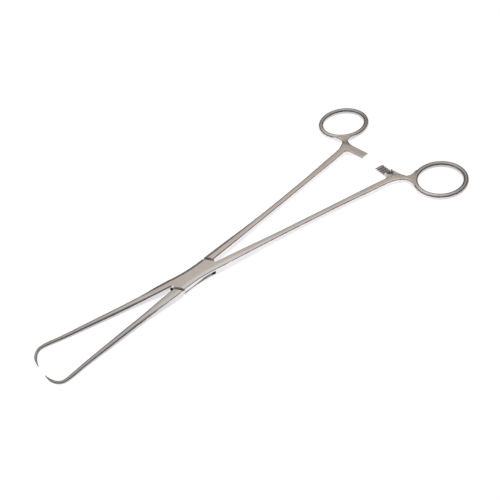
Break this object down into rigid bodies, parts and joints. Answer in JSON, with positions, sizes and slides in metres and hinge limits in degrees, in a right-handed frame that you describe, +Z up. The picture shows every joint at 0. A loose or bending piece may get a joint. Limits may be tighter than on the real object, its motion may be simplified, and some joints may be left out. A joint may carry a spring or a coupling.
{
  "type": "tenaculum forceps",
  "caption": "Long grasping forceps with a box joint, slim jaws ending in sharp inward hooks, finger rings and a toothed locking ratchet, lying open.",
  "frame": {"origin": "on the pivot axis, at the underside of the joint, which is the face the forceps lies on", "axes": "+X from the pivot to the finger rings, +Y to the side of the tongue half's ring, +Z up along the pivot pin"},
  "size_m": [0.2556, 0.1092, 0.0066],
  "materials": {
    "steel": "satin stainless steel",
    "pin_steel": "satin stainless steel, ground flush"
  },
  "bodies": {
    "box_body": {"box_half": "steel", "joint_pin": "pin_steel"},
    "tongue_body": {"tongue_half": "steel"}
  },
  "joints": [
    {"name": "pivot", "type": "hinge", "parent": "box_body", "child": "tongue_body", "pos_m": [0, 0, 0.0026], "axis": [0, 0, 1], "range_deg": [-8, 60]}
  ]
}
